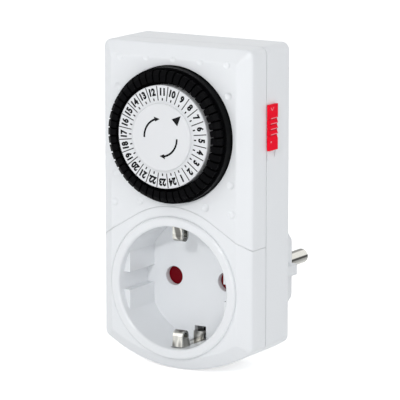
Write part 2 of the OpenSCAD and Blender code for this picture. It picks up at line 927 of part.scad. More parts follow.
module reduction_gear_1() {
    color(gear_tan) on_axis(axis_1) difference() {
        union() {
            gear(pinion_1_teeth, mate(0, wheel_2_teeth, pinion_1_teeth, angle_1), pinion_1_s);
            gear(wheel_1_teeth, 0, wheel_1_s);
        }
        rod(gear_axle_r + run, y_front, y_front + 20);
    }
}

module motor_pinion() {
    color(brass) on_axis(axis_m) {
        gear(motor_teeth, mate(0, wheel_1_teeth, motor_teeth, angle_m), motor_pinion_s);
        rod(gear_axle_r, y_front + motor_pinion_s[1] - eps, y_front + plate_s[1] + 0.8);
    }
}

module gear_axles() {
    color(steel) {
        on_axis(axis_2) rod(gear_axle_r, y_front + pinion_2_s[0], y_front + plate_s[1]);
        on_axis(axis_1) rod(gear_axle_r, y_front + pinion_1_s[0], y_front + plate_s[1]);
    }
}

module plate_outline() {
    right = case_w / 2 - wall - air;
    low = post_at[1] - 1.7;
    top = case_top - wall - air;
    inner = lever_x[0] - 0.4;
    outer = lever_x[1] + 0.4;
    notch = pivot_z - 6;
    ear_top = pivot_z + lever_pin_r + hub_wall;
    polygon([[-right, low], [outer + ear_t, low], [outer + ear_t, ear_top],
        [outer, ear_top], [outer, notch], [inner, notch], [inner, ear_top],
        [inner - 0.7, ear_top], [inner - 0.7, column_at[1] - column_r], [right, column_at[1] - column_r],
        [right, top], [-right, top]]);
}

module lever_ear(x) {
    r = lever_pin_r + hub_wall;
    cheek(x, x + ear_t) {
        translate([y_front + lever_s, pivot_z]) circle(r = r);
        translate([y_front + lever_s, pivot_z - r])
            square([plate_s[0] - lever_s + eps, 2 * r]);
    }
}

module gear_plate() {
    color(plate_grey) difference() {
        union() {
            slab(y_front + plate_s[0], y_front + plate_s[1]) plate_outline();
            lever_ear(lever_x[0] - 0.4 - ear_t);
            lever_ear(lever_x[1] + 0.4);
        }
        for (p = [[0, 0], axis_1, axis_2]) {
            on_axis(p) rod(p == [0, 0] ? axle_r : gear_axle_r, y_front + 1, y_front + 20);
        }
        on_axis(axis_m) rod(gear_axle_r + 0.4, y_front + 1, y_front + 20);
        for (side = [-1, 1]) {
            at(side * column_at[0], column_at[1]) rod(screw_hole_r + 0.2, y_front, y_front + 20);
            at(side * post_at[0], post_at[1]) rod(post_screw_r + 0.1, y_front, y_front + 20);
            on_axis(axis_m + [side * ear_x, 0]) rod(post_screw_r, y_front, y_front + 20);
        }
        cheek(lever_x[0] - 3, lever_x[1] + 3)
            translate([y_front + lever_s, pivot_z]) circle(r = lever_pin_r);
    }
}

// Sealed geared motor, held by two ears
module motor_can() {
    y0 = y_front + plate_s[1];
    depth = 7.2;
    ear_r = 2.1;
    color(nickel) on_axis(axis_m) difference() {
        union() {
            turned() polygon(concat([[0, y0 + motor_gap], [motor_r, y0 + motor_gap]],
                arc([motor_r - 0.8, y0 + depth - 0.8], 0.8, 0, 90, 4), [[0, y0 + depth]]));
            slab(y0, y0 + 0.8) difference() {
                square([2 * ear_x, 2 * ear_r], center = true);
                circle(r = motor_r - 1);
            }
            for (side = [-1, 1]) {
                at(side * ear_x, 0) rod(ear_r, y0, y0 + 0.8);
            }
        }
        rod(gear_axle_r + run, y0 - 1, y0 + 1);
        for (side = [-1, 1]) {
            at(side * ear_x, 0) rod(post_screw_r + 0.1, y0 - 1, y0 + 2);
        }
    }
}

// ---- Switch ----

module switch_lever() {
    y_mid = y_front + lever_s;
    y_tip = y_front + leg_end + finger_gap;
    z_finger = dial_z + finger_at[1];
    hub = lever_pin_r + hub_wall;
    color(case_white) difference() {
        union() {
            block(lever_x, [y_mid - lever_half, y_mid + lever_half],
                [contact_z - 1.5, z_finger + 1]);
            cheek(lever_x[0], lever_x[1]) translate([y_mid, pivot_z]) circle(r = hub);
            block([finger_at[0] - 1, lever_x[1]], [y_mid - lever_half, y_mid + lever_half],
                [z_finger - 1, z_finger + 1]);
            at(finger_at[0], z_finger) turned() polygon(concat([[0, y_mid]],
                [[0.9, y_mid], [0.9, y_tip + 0.5]],
                arc([0.4, y_tip + 0.5], 0.5, 0, -90, 3), [[0, y_tip]]));
            cheek(lever_x[1] - eps, lug_x)
                translate([y_mid, pivot_z + lug_arm]) circle(r = lug_r);
        }
        cheek(lever_x[0] - 1, lever_x[1] + 1)
            translate([y_mid, pivot_z]) circle(r = lever_pin_r + run);
        at(lever_mid, contact_z) rod(rivet_r, y_mid - 5, y_mid + 5);
    }
}

module lever_pin() {
    color(steel) cheek(lever_x[0] - 0.4 - ear_t, lever_x[1] + 0.4 + ear_t)
        translate([y_front + lever_s, pivot_z]) circle(r = lever_pin_r);
}

module lever_spring() {
    y0 = y_front + lever_s + lever_half + spring_wire + 0.1;
    y1 = y_back_in - spring_wire - 0.1;
    color(steel) coil([lever_mid, y0, spring_z], [lever_mid, y1, spring_z], spring_r,
        spring_wire, 6);
}

// Blade and rivet on the lower arm of the lever
module moving_contact() {
    y_rear = y_front + lever_s + lever_half;
    y_face = y_front + lever_s - lever_half;
    color(brass) {
        block([lever_x[0] + 0.4, lever_x[1] - 0.4], [y_rear, y_rear + blade_t],
            [contact_z - 1.4, pivot_z - 3.4]);
        at(lever_mid, contact_z) {
            rod(rivet_r, y_face - eps, y_rear + eps);
            rod(contact_r - 0.2, y_face - 0.35, y_face);
        }
    }
}

// Button with its ridges outside, neck through the wall and ramp inside
module override_slider() {
    x_skin = case_w / 2;
    x_out = x_skin + slider_proud;
    x_plate = [x_skin - wall - 1.2, x_skin - wall - 0.2];
    ramp_y = y_front + lever_s - (lug_r + fit) / cos(ramp_slope);
    ramp_z = pivot_z + lug_arm;
    ramp_half = [1.6, slider_travel + 1.6];
    rise = tan(ramp_slope);
    ridge = 1.66;
    ridge_d = 0.45;
    ridge_z = slider_z[0] + 4.8;
    color(switch_red) {
        difference() {
            block([x_skin + fit, x_out], slider_y, slider_z);
            for (i = [0:3]) {
                tip = ridge_z + ridge * i;
                slab(slider_y[0] - 1, slider_y[1] + 1) polygon([
                    [x_out + 1, tip], [x_out - ridge_d, tip],
                    [x_out, tip - 0.85 * ridge], [x_out + 1, tip - 0.85 * ridge]]);
            }
        }
        block([x_plate[0], x_skin + fit + eps], neck_y, neck_z);
        block(x_plate, [y_front + 5, neck_y[1] + 1], [ramp_z - ramp_half[0] - 1, neck_z[1] + 0.8]);
        cheek(lever_x[1] + 0.4, x_plate[1]) polygon([
            [y_front + 5, ramp_z - ramp_half[0]],
            [ramp_y - ramp_half[0] * rise, ramp_z - ramp_half[0]],
            [ramp_y + ramp_half[1] * rise, ramp_z + ramp_half[1]],
            [y_front + 5, ramp_z + ramp_half[1]]]);
    }
}

// ---- Screws and leads ----

module screw(x, z, shank_r, y_tip, y_head, cap_r, cap_h) {
    slot_w = cap_r / 3;
    at(x, z) difference() {
        union() {
            rod(shank_r, y_tip, y_head + eps);
            rod(cap_r, y_head, y_head + cap_h);
        }
        for (turn = [0, 90]) {
            rotate([0, turn, 0]) block([-cap_r * 0.7, cap_r * 0.7],
                [y_head + cap_h / 2, y_head + cap_h + 1], [-slot_w / 2, slot_w / 2]);
        }
    }
}

module housing_screws() {
    color(steel) for (side = [-1, 1], z = [column_at[1], foot_column_z]) {
        screw(side * column_at[0], z, screw_r, y_front_in + 2, screw_head_y, head_r, 1.8);
    }
}

module motor_screws() {
    y_plate = y_front + plate_s[1];
    color(steel) for (side = [-1, 1]) {
        screw(side * post_at[0], post_at[1], post_screw_r, y_plate - 5, y_plate, 1.5, 1);
        screw(axis_m[0] + side * ear_x, dial_z + axis_m[1], post_screw_r,
            y_front + plate_s[0], y_plate + 0.8, 1.5, 1);
    }
}

lead_r = 0.55;
module lead_live() {
    z_can = dial_z + axis_m[1] - motor_r * 0.8;
    color(switch_red) tube([[lever_x[0] - 0.3, strip_y + 0.3, pivot_z - 5],
        [15, strip_y, pivot_z - 3.5], [10, strip_y - 1.5, pivot_z + 1],
        [6, strip_y - 4, z_can - 1], [axis_m[0] + motor_r * 0.6 + 0.5, strip_y - 4, z_can - 0.6]],
        lead_r, [0, 1, 0]);
}

module lead_neutral() {
    z_can = dial_z + axis_m[1] - motor_r;
    x = -pin_pitch / 2;
    lead_y = carrier_y + carrier_t + lead_r + air / 2;
    color(plate_grey) tube([[x, root_y - 1.5, tulip_r + tulip_wall + lead_r],
        [x, root_y - 4, 6], [x, lead_y + 5, 9.5], [x, lead_y, 12.2], [x, lead_y, 26],
        [x + 2, strip_y - 2, 34], [axis_m[0], strip_y - 4, z_can - 0.6]], lead_r, [1, 0, 0]);
}

rear_housing();
plug_body();
front_cover();
socket_cover();
socket_insert();
contact_carrier();
safety_shutter();
shutter_spring();
plug_pin_live();
plug_pin_neutral();
earth_strap_upper();
earth_strap_lower();
earth_link();
neutral_contact();
live_contact();
live_bus();
dial_carrier();
number_ring();
pointer_disc();
dial_axle();
tappet_set();
tappet_1();
tappet_2();
tappet_3();
tappet_4();
gear_plate();
motor_can();
motor_pinion();
reduction_gear_1();
reduction_gear_2();
gear_axles();
switch_lever();
lever_pin();
lever_spring();
moving_contact();
override_slider();
housing_screws();
motor_screws();
lead_live();
lead_neutral();
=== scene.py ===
"""Looks of a plug-in timer switch: finishes, printed dial, small marks, lights and camera.

Sizes are in metres. The frame's origin is the middle of the plug's face. X is to the
right, Y points into the wall and Z is up.
"""

import math

import bmesh
import bpy
from bpy.props import (
    FloatProperty,
    FloatVectorProperty,
    IntProperty,
    PointerProperty,
)
from mathutils import Matrix, Vector


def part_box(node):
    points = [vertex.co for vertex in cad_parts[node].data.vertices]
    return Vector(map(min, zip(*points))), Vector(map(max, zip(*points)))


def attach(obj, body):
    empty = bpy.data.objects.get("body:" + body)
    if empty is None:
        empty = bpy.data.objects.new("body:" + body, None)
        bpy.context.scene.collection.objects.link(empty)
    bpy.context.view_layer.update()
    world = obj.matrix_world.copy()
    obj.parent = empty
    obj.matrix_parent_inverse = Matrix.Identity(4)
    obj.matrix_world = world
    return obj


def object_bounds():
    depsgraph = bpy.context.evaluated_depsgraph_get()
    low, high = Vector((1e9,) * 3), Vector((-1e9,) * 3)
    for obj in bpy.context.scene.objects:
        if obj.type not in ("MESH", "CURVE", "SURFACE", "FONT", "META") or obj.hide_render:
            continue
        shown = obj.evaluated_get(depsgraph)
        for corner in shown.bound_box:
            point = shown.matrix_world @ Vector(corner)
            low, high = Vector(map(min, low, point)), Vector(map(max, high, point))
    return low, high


bl_info = {
    "name": "Plug-in Timer Switch",
    "version": (1, 0, 0),
    "blender": (4, 5, 0),
    "location": "View3D > Sidebar > Timer",
    "description": "Finishes, printed dial, marks and studio of a plug-in timer switch",
    "category": "Object",
}

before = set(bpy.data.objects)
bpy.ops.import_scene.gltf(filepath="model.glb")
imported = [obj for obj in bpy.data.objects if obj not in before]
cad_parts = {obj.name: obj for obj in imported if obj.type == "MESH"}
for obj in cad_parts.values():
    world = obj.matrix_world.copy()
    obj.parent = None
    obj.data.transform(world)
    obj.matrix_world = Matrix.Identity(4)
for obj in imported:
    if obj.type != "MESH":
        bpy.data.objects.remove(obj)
START_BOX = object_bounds()

MM = 0.001

# ---------------------------------------------------------------------------
# Places on the object, read from the frame
# ---------------------------------------------------------------------------

RING_LOW, RING_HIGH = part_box("number_ring")
DISC_LOW, DISC_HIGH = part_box("pointer_disc")
SLIDER_LOW, SLIDER_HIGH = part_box("override_slider")
COVER_LOW, COVER_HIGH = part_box("front_cover")

DIAL_CENTRE = Vector((0.0, RING_LOW.y, (RING_LOW.z + RING_HIGH.z) / 2))
RING_FACE_Y = RING_LOW.y
DISC_FACE_Y = DISC_LOW.y
DISC_R = (DISC_HIGH.x - DISC_LOW.x) / 2

# The slide button's front edge lies this far behind the face of the front cover
BUTTON_SETBACK = 11.1 * MM
BUTTON_LOW_Y = COVER_LOW.y + BUTTON_SETBACK

# ---------------------------------------------------------------------------
# Sizes of the small pieces that are added
# ---------------------------------------------------------------------------

# Seam between the front covers: an arc over the socket, then a straight slope to each side
SEAM_ARC_R = 25.525 * MM
SEAM_SLOPE = math.radians(31)
SEAM_STEPS = 24
SEAM_BEAD_R = 0.1 * MM
SEAM_END_GAP = 0.2 * MM
CASE_HALF_WIDTH = 26.7 * MM
BEVEL_INSET = 4.2 * MM
BEVEL_DROP = 3.0 * MM

# Gap around the socket's collar
COLLAR_GAP_INNER = 22.38 * MM
COLLAR_GAP_OUTER = 22.62 * MM
COLLAR_FILL_HEIGHT = 0.3 * MM

# Skirt around the middle disc: its overlap with the disc, its rim and how far it stands out
SKIRT_OVERLAP = 0.05 * MM
SKIRT_RIM = 0.5 * MM
SKIRT_FRONT = 0.13 * MM
SKIRT_BACK = 0.03 * MM

# Marks on the slide button: sizes along X, Y and Z, and how far they lie below its face. The ridge
# bars are a painted highlight along each ridge tip, the groove bars are painted shade just below
# it, and the chevron and the dot are raised marks in the painted-highlight pink.
# The names with MM at the end are in millimetres.
RIDGE_SIZE = (0.2 * MM, 4.0 * MM, 0.26 * MM)
RIDGE_SINK = 0.07 * MM
RIDGE_RISE = 0.12 * MM
GROOVE_SIZE = (0.16 * MM, 4.2 * MM, 0.36 * MM)
GROOVE_SINK = 0.3 * MM
GROOVE_DROP = 0.19 * MM
RIDGE_MIDDLE = 2.9 * MM
CHEVRON_SIZE = (0.1 * MM, 0.26 * MM, 1.3 * MM)
CHEVRON_TURN = math.radians(42)
CHEVRON_MIDDLE_MM = 1.65
CHEVRON_HALF_MM = 0.42
CHEVRON_FROM_TOP = 1.3 * MM
DOT_SIZE = (0.1 * MM, 0.55 * MM, 0.55 * MM)
DOT_FROM_EDGE = 1.0 * MM
DOT_FROM_FOOT = 2.7 * MM
RIDGE_ROUNDING = 0.05 * MM
MARK_ROUNDING = 0.04 * MM

# Printed digits: stroke added to the font, its bevel and the narrowing of the letters
DIGIT_BOLDNESS = 0.04
DIGIT_BEVEL = 0.022
DIGIT_NARROWING = 0.84

# Curved arrows, as start and end clockwise from the top, and the time pointer
ARROW_SPANS = ((-93, -3), (90, 184))
ARROW_STEPS = 20
ARROW_HEAD = math.radians(18)
ARROW_BARB_OUT = 0.6 * MM
ARROW_BARB_IN = 0.35 * MM
ARROW_TIP_IN = 0.1 * MM
POINTER_TIP = 10.2 * MM
POINTER_BASE = 7.05 * MM
POINTER_HALF = 1.4 * MM
POINTER_TURN = math.pi / 4

# ---------------------------------------------------------------------------
# Fixed colours and the stage's places
# ---------------------------------------------------------------------------

GREY_COLOUR = (0.42, 0.43, 0.42)
GEAR_COLOUR = (0.62, 0.53, 0.34)
RED_LEAD_COLOUR = (0.35, 0.02, 0.02)
BLUE_LEAD_COLOUR = (0.03, 0.06, 0.30)
ZINC_COLOUR = (0.52, 0.53, 0.54)
BRASS_COLOUR = (0.72, 0.50, 0.20)
STEEL_COLOUR = (0.50, 0.50, 0.52)
# Painted highlight pink of the slide button's ridge tips and marks, and painted shade red of its
# grooves
RIDGE_HIGHLIGHT_COLOUR = (1.0, 0.22, 0.27)
GROOVE_SHADE_COLOUR = (0.6, 0.001, 0.016)

WHITE = (1.0, 1.0, 1.0, 1.0)
COOL_WHITE = (0.985, 1.0, 1.012, 1.0)
FLOOR_GREY = (0.9, 0.9, 0.9, 1.0)
FLOOR_SIZE = 6.0
FLOOR_GAP = 0.2 * MM

CAMERA_TARGET = Vector((3.676, -36.0, 26.384)) * MM
SENSOR_WIDTH = 36.0
CAMERA_REACH = 20.0

# Lamps: name, place, size and the setting that holds its power
LAMP_AIM = (0.0, -0.035, 0.025)
LAMPS = (
    ("Front", (0.24, -0.93, 0.44), (0.07, 0.07), "front_power"),
    ("Left", (-0.5, -0.7, 0.5), (0.5, 0.5), "left_power"),
    ("Right", (0.55, -0.6, 0.5), (0.4, 0.4), "right_power"),
    ("Low", (0.45, -0.85, 0.1), (0.25, 0.2), "low_power"),
)


# ---------------------------------------------------------------------------
# Settings
# ---------------------------------------------------------------------------


class TimerFinishSettings(bpy.types.PropertyGroup):
    """Colours of the mouldings and metals"""

    case_colour: FloatVectorProperty(
        name="Case",
        description="Colour of the white housing mouldings",
        subtype="COLOR",
        default=(0.85, 0.868, 0.89),
        min=0.0,
        max=1.0,
    )
    dial_colour: FloatVectorProperty(
        name="Dial",
        description="Colour of the black dial body and its tappets",
        subtype="COLOR",
        default=(0.0025, 0.0025, 0.003),
        min=0.0,
        max=1.0,
    )
    face_colour: FloatVectorProperty(
        name="Dial face",
        description="Colour of the hour ring and the middle disc",
        subtype="COLOR",
        default=(0.78, 0.79, 0.81),
        min=0.0,
        max=1.0,
    )
    slider_colour: FloatVectorProperty(
        name="Slide button",
        description="Colour of the slide button",
        subtype="COLOR",
        default=(0.97, 0.008, 0.03),
        min=0.0,
        max=1.0,
    )
    shutter_colour: FloatVectorProperty(
        name="Shutter",
        description="Colour of the shutter behind the pin holes",
        subtype="COLOR",
        default=(0.17, 0.001, 0.006),
        min=0.0,
        max=1.0,
    )
    nickel_colour: FloatVectorProperty(
        name="Nickel",
        description="Colour of the plated pins and earth contacts",
        subtype="COLOR",
        default=(0.78, 0.77, 0.72),
        min=0.0,
        max=1.0,
    )
    grain: FloatProperty(
        name="Moulding grain",
        description="Height of the fine grain on the white mouldings",
        subtype="DISTANCE",
        unit="LENGTH",
        default=0.012 * MM,
        min=0.0,
        max=0.1 * MM,
    )


class TimerPrintSettings(bpy.types.PropertyGroup):
    """Sizes of the printing on the dial"""

    hours: IntProperty(
        name="Hours",
        description="How many hours are printed around the dial",
        default=24,
        min=12,
        max=24,
    )
    top_hour: IntProperty(
        name="Hour at the top",
        description="Number that stands at the top of the dial",
        default=11,
        min=1,
        max=24,
    )
    digit_height: FloatProperty(
        name="Digit height",
        description="Height of the printed digits",
        subtype="DISTANCE",
        unit="LENGTH",
        default=2.4 * MM,
        min=1.0 * MM,
        max=3.0 * MM,
    )
    digit_radius: FloatProperty(
        name="Digit radius",
        description="Distance of the digits' middle from the dial's centre",
        subtype="DISTANCE",
        unit="LENGTH",
        default=13.9 * MM,
        min=11.0 * MM,
        max=15.0 * MM,
    )
    ink_colour: FloatVectorProperty(
        name="Ink",
        description="Colour of the printing",
        subtype="COLOR",
        default=(0.004, 0.004, 0.005),
        min=0.0,
        max=1.0,
    )
    ink_height: FloatProperty(
        name="Ink height",
        description="How far the printing stands out of the face",
        subtype="DISTANCE",
        unit="LENGTH",
        default=0.03 * MM,
        min=0.01 * MM,
        max=0.1 * MM,
    )


class TimerStageSettings(bpy.types.PropertyGroup):
    """Camera and lights"""

    camera_azimuth: FloatProperty(
        name="Camera azimuth",
        description="Turn of the camera towards the object's right side",
        subtype="ANGLE",
        unit="ROTATION",
        default=math.radians(31.298),
    )
    camera_elevation: FloatProperty(
        name="Camera elevation",
        description="Height of the camera above the object, as an angle",
        subtype="ANGLE",
        unit="ROTATION",
        default=math.radians(10.687),
    )
    camera_distance: FloatProperty(
        name="Camera distance",
        description="Distance from the camera to the point it looks at",
        subtype="DISTANCE",
        unit="LENGTH",
        default=959.62 * MM,
        min=0.3,
    )
    lens: FloatProperty(
        name="Lens",
        description="Focal length of the camera in millimetres",
        default=280.03,
        min=50.0,
    )
    room_level: FloatProperty(
        name="Room light",
        description="Strength of the even light from all around",
        default=0.26,
        min=0.0,
    )
    back_level: FloatProperty(
        name="Back light",
        description="Strength that the room light gains towards the back wall",
        default=0.66,
        min=0.0,
    )
    front_power: FloatProperty(
        name="Front light",
        description="Power of the small light above and left of the camera, in watts",
        default=1.9,
        min=0.0,
    )
    left_power: FloatProperty(
        name="Left light",
        description="Power of the soft light above on the left, in watts",
        default=1.1,
        min=0.0,
    )
    right_power: FloatProperty(
        name="Right light",
        description="Power of the soft light above on the right, in watts",
        default=0.75,
        min=0.0,
    )
    low_power: FloatProperty(
        name="Low light",
        description="Power of the soft light just below the camera, in watts",
        default=1.0,
        min=0.0,
    )
    floor_glow: FloatProperty(
        name="Floor glow",
        description="How much the floor shines of itself, so that only shadows darken it",
        default=0.6,
        min=0.0,
        max=1.0,
    )


# ---------------------------------------------------------------------------
# Shader node groups
# ---------------------------------------------------------------------------


def group_input(group, name, kind, value):
    socket = group.interface.new_socket(name=name, in_out="INPUT", socket_type=kind)
    socket.default_value = value


def group_output(group, name, kind):
    group.interface.new_socket(name=name, in_out="OUTPUT", socket_type=kind)


def link(tree, source, target):
    tree.links.new(source, target)


def math_node(tree, operation, *values):
    node = tree.nodes.new("ShaderNodeMath")
    node.operation = operation
    for socket, value in zip(node.inputs, values):
        if isinstance(value, (int, float)):
            socket.default_value = value
        else:
            link(tree, value, socket)
    return node.outputs[0]


def noise_node(tree, vector, scale, detail, roughness):
    node = tree.nodes.new("ShaderNodeTexNoise")
    link(tree, vector, node.inputs["Vector"])
    if isinstance(scale, (int, float)):
        node.inputs["Scale"].default_value = scale
    else:
        link(tree, scale, node.inputs["Scale"])
    node.inputs["Detail"].default_value = detail
    node.inputs["Roughness"].default_value = roughness
    return node.outputs["Fac"]


def mix_colours(tree, factor, a, b):
    node = tree.nodes.new("ShaderNodeMix")
    node.data_type = "RGBA"
    for socket, value in ((node.inputs[0], factor), (node.inputs[6], a), (node.inputs[7], b)):
        if isinstance(value, (int, float, tuple)):
            socket.default_value = value
        else:
            link(tree, value, socket)
    return node.outputs[2]


def moulded_surface_group():
    """Injection-moulded plastic: fine grain, slow flow mottle and slightly worn edges."""
    group = bpy.data.node_groups.new("Moulded Surface", "ShaderNodeTree")
    group_input(group, "Colour", "NodeSocketColor", (0.8, 0.8, 0.8, 1.0))
    group_input(group, "Roughness", "NodeSocketFloat", 0.4)
    group_input(group, "Grain Scale", "NodeSocketFloat", 9000.0)
    group_input(group, "Grain Height", "NodeSocketFloat", 0.00001)
    group_input(group, "Mottle", "NodeSocketFloat", 0.03)
    group_input(group, "Edge Radius", "NodeSocketFloat", 0.0002)
    group_output(group, "Colour", "NodeSocketColor")
    group_output(group, "Roughness", "NodeSocketFloat")
    group_output(group, "Normal", "NodeSocketVector")
    inlet = group.nodes.new("NodeGroupInput")
    outlet = group.nodes.new("NodeGroupOutput")
    place = group.nodes.new("ShaderNodeTexCoord").outputs["Object"]

    flow_scale, roughness_spread = 90.0, 0.12
    grain = noise_node(group, place, inlet.outputs["Grain Scale"], 4.0, 0.6)
    flow = noise_node(group, place, flow_scale, 2.0, 0.5)
    centred = math_node(group, "SUBTRACT", flow, 0.5)
    tone = math_node(group, "MULTIPLY", centred, inlet.outputs["Mottle"])
    shade = math_node(group, "ADD", tone, 1.0)
    hsv = group.nodes.new("ShaderNodeHueSaturation")
    link(group, inlet.outputs["Colour"], hsv.inputs["Color"])
    link(group, shade, hsv.inputs["Value"])
    link(group, hsv.outputs["Color"], outlet.inputs["Colour"])

    uneven = math_node(group, "SUBTRACT", grain, 0.5)
    spread = math_node(group, "MULTIPLY", uneven, roughness_spread)
    roughness = math_node(group, "ADD", inlet.outputs["Roughness"], spread)
    link(group, roughness, outlet.inputs["Roughness"])

    soft = group.nodes.new("ShaderNodeBevel")
    soft.samples = 4
    link(group, inlet.outputs["Edge Radius"], soft.inputs["Radius"])
    bump = group.nodes.new("ShaderNodeBump")
    bump.inputs["Strength"].default_value = 1.0
    link(group, inlet.outputs["Grain Height"], bump.inputs["Distance"])
    link(group, grain, bump.inputs["Height"])
    link(group, soft.outputs["Normal"], bump.inputs["Normal"])
    link(group, bump.outputs["Normal"], outlet.inputs["Normal"])
    return group


def drawn_metal_group():
    """Rolled or drawn metal: long streaks along one direction and small dull spots."""
    group = bpy.data.node_groups.new("Drawn Metal", "ShaderNodeTree")
    group_input(group, "Colour", "NodeSocketColor", (0.6, 0.6, 0.6, 1.0))
    group_input(group, "Roughness", "NodeSocketFloat", 0.25)
    group_input(group, "Streak Height", "NodeSocketFloat", 0.000004)
    group_output(group, "Colour", "NodeSocketColor")
    group_output(group, "Roughness", "NodeSocketFloat")
    group_output(group, "Normal", "NodeSocketVector")
    inlet = group.nodes.new("NodeGroupInput")
    outlet = group.nodes.new("NodeGroupOutput")
    place = group.nodes.new("ShaderNodeTexCoord").outputs["Object"]
    stretch = group.nodes.new("ShaderNodeMapping")
    stretch.inputs["Scale"].default_value = (1.0, 0.06, 1.0)
    link(group, place, stretch.inputs["Vector"])

    streak_scale, spot_scale = 6000.0, 700.0
    tone_spread, roughness_spread = 0.22, 0.35
    streaks = noise_node(group, stretch.outputs["Vector"], streak_scale, 3.0, 0.6)
    spots = noise_node(group, place, spot_scale, 4.0, 0.65)
    tone = math_node(group, "MULTIPLY", math_node(group, "SUBTRACT", spots, 0.5), tone_spread)
    hsv = group.nodes.new("ShaderNodeHueSaturation")
    link(group, inlet.outputs["Colour"], hsv.inputs["Color"])
    link(group, math_node(group, "ADD", tone, 1.0), hsv.inputs["Value"])
    link(group, hsv.outputs["Color"], outlet.inputs["Colour"])
    uneven = math_node(group, "SUBTRACT", spots, 0.45)
    spread = math_node(group, "MULTIPLY", uneven, roughness_spread)
    roughness = math_node(group, "ADD", inlet.outputs["Roughness"], spread)
    link(group, roughness, outlet.inputs["Roughness"])
    bump = group.nodes.new("ShaderNodeBump")
    link(group, inlet.outputs["Streak Height"], bump.inputs["Distance"])
    link(group, streaks, bump.inputs["Height"])
    link(group, bump.outputs["Normal"], outlet.inputs["Normal"])
    return group


def shared_group(name, builder):
    return bpy.data.node_groups.get(name) or builder()


# ---------------------------------------------------------------------------
# Materials
# ---------------------------------------------------------------------------


def new_material(name):
    material = bpy.data.materials.new(name)
    material.use_nodes = True
    shader = material.node_tree.nodes["Principled BSDF"]
    return material, material.node_tree, shader


def rgba(colour):
    return (colour[0], colour[1], colour[2], 1.0)


def moulded_material(name, colour, roughness, grain_height, grain_scale=9000.0, mottle=0.03,
                     edge=0.0002, specular=0.5):
    material, tree, shader = new_material(name)
    surface = tree.nodes.new("ShaderNodeGroup")
    surface.node_tree = shared_group("Moulded Surface", moulded_surface_group)
    surface.inputs["Colour"].default_value = rgba(colour)
    surface.inputs["Roughness"].default_value = roughness
    surface.inputs["Grain Scale"].default_value = grain_scale
    surface.inputs["Grain Height"].default_value = grain_height
    surface.inputs["Mottle"].default_value = mottle
    surface.inputs["Edge Radius"].default_value = edge
    link(tree, surface.outputs["Colour"], shader.inputs["Base Color"])
    link(tree, surface.outputs["Roughness"], shader.inputs["Roughness"])
    link(tree, surface.outputs["Normal"], shader.inputs["Normal"])
    shader.inputs["Specular IOR Level"].default_value = specular
    return material


# Painted reflection on a plated pin: tone from its underside (0) to its top (1), as place and
# tone, standing in for the dark and white room it would mirror
PIN_PAINTED_REFLECTION = ((0.0, 0.7), (0.3, 0.45), (0.47, 0.28), (0.51, 0.04), (0.62, 0.05), (0.68, 1.0),
             (0.93, 1.0), (0.98, 0.2))
# Painted reflection on the bent strips: tone over the range of a slow noise, as place and tone
STRIP_PAINTED_REFLECTION = ((0.0, 0.12), (0.38, 0.2), (0.45, 0.6), (0.52, 0.85), (0.6, 0.55), (0.68, 0.15),
               (0.8, 0.6))


def banded(tree, colour, level, bands):
    """Painted reflection: bands of tone in the base colour stand in for the dark and white walls
    that bright plate mirrors.
    """
    ramp = tree.nodes.new("ShaderNodeValToRGB")
    stops = ramp.color_ramp.elements
    while len(stops) < len(bands):
        stops.new(0.5)
    for stop, (place, tone) in zip(stops, bands):
        stop.position = place
        stop.color = (tone, tone, tone, 1.0)
    link(tree, level, ramp.inputs[0])
    product = tree.nodes.new("ShaderNodeMix")
    product.data_type = "RGBA"
    product.blend_type = "MULTIPLY"
    product.inputs[0].default_value = 1.0
    link(tree, colour, product.inputs[6])
    link(tree, ramp.outputs["Color"], product.inputs[7])
    return product.outputs[2]


def pin_bands(tree, colour):
    """Painted reflection in bands along a pin, by how far its surface looks up."""
    place = tree.nodes.new("ShaderNodeTexCoord")
    parts = tree.nodes.new("ShaderNodeSeparateXYZ")
    link(tree, place.outputs["Normal"], parts.inputs[0])
    height = math_node(tree, "MULTIPLY_ADD", parts.outputs["Z"], 0.5, 0.5)
    return banded(tree, colour, height, PIN_PAINTED_REFLECTION)


def strip_bands(tree, colour):
    """Painted reflection: uneven bands on a bent strip."""
    place = tree.nodes.new("ShaderNodeTexCoord")
    stretch = tree.nodes.new("ShaderNodeMapping")
    stretch.inputs["Scale"].default_value = (1.0, 0.45, 0.45)
    link(tree, place.outputs["Object"], stretch.inputs["Vector"])
    level = noise_node(tree, stretch.outputs["Vector"], 340.0, 1.0, 0.4)
    return banded(tree, colour, level, STRIP_PAINTED_REFLECTION)


def metal_material(name, colour, roughness, streak_height=0.000004, bands=None):
    material, tree, shader = new_material(name)
    surface = tree.nodes.new("ShaderNodeGroup")
    surface.node_tree = shared_group("Drawn Metal", drawn_metal_group)
    surface.inputs["Colour"].default_value = rgba(colour)
    surface.inputs["Roughness"].default_value = roughness
    surface.inputs["Streak Height"].default_value = streak_height
    tone = surface.outputs["Colour"]
    # The bands function paints reflection into the base colour
    if bands:
        tone = bands(tree, tone)
    link(tree, tone, shader.inputs["Base Color"])
    link(tree, surface.outputs["Roughness"], shader.inputs["Roughness"])
    link(tree, surface.outputs["Normal"], shader.inputs["Normal"])
    shader.inputs["Metallic"].default_value = 1.0
    return material


def give(material, *nodes):
    """Put one material on the whole of each CAD node."""
    for name in nodes:
        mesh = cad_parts[name].data
        mesh.materials.clear()
        mesh.materials.append(material)


# ---------------------------------------------------------------------------
# Small modelling helpers
# ---------------------------------------------------------------------------


def finish_piece(name, bm, material, body):
    """Make an object of the mesh, give it its material and let it ride on its body."""
    bmesh.ops.remove_doubles(bm, verts=bm.verts, dist=1e-7)
    bmesh.ops.recalc_face_normals(bm, faces=bm.faces)
    mesh = bpy.data.meshes.new(name)
    bm.to_mesh(mesh)
    bm.free()
    mesh.materials.append(material)
    piece = bpy.data.objects.new(name, mesh)
    bpy.context.collection.objects.link(piece)
    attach(piece, body)


